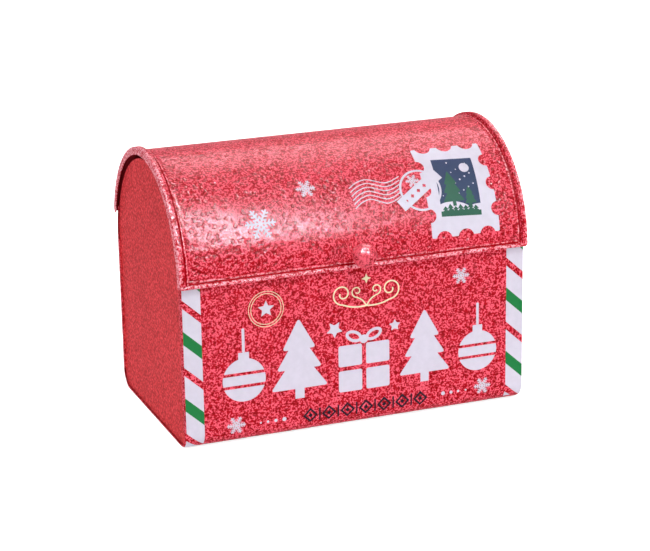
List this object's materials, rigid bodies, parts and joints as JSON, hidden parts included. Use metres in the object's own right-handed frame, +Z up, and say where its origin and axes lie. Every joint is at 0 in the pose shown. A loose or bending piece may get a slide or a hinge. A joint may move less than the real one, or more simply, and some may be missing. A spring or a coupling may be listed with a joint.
{
  "type": "money box",
  "caption": "Sheet tin money box with arched ends and a barrel lid that hinges at the back and opens by a round knob.",
  "frame": {"origin": "middle of the flat base, on the surface that the box stands on", "axes": "+Z up; -Y is the front, where the knob is; +X runs along the box's width to its right-hand end as seen from the front"},
  "size_m": [0.182, 0.125, 0.1387],
  "materials": {
    "hammered_red": "glossy hammered enamel with a dimpled face, crimson in the pits and coral on the ridges",
    "plain_red": "satin enamel with a fine speckle",
    "print_white": "smooth satin screen print",
    "print_green": "smooth satin screen print",
    "print_gold": "smooth satin screen print",
    "print_dark": "smooth satin screen print",
    "plated_steel": "zinc plated, lightly brushed"
  },
  "bodies": {
    "tin": {"body_wrap": "hammered_red", "left_end_panel": "plain_red", "right_end_panel": "plain_red", "left_body_leaf": "plated_steel", "right_body_leaf": "plated_steel", "left_hinge_pin": "plated_steel", "right_hinge_pin": "plated_steel", "left_body_rivets": "plated_steel", "right_body_rivets": "plated_steel"},
    "lid": {"lid_shell": "hammered_red", "knob": "hammered_red", "knob_screw": "plated_steel", "knob_washer": "plated_steel", "left_lid_leaf": "plated_steel", "right_lid_leaf": "plated_steel", "left_lid_rivets": "plated_steel", "right_lid_rivets": "plated_steel"}
  },
  "joints": [
    {"name": "lid_hinge", "type": "hinge", "parent": "tin", "child": "lid", "pos_m": [0, 0.054, 0.0925], "axis": [-1, 0, 0], "range_deg": [0, 110]}
  ]
}
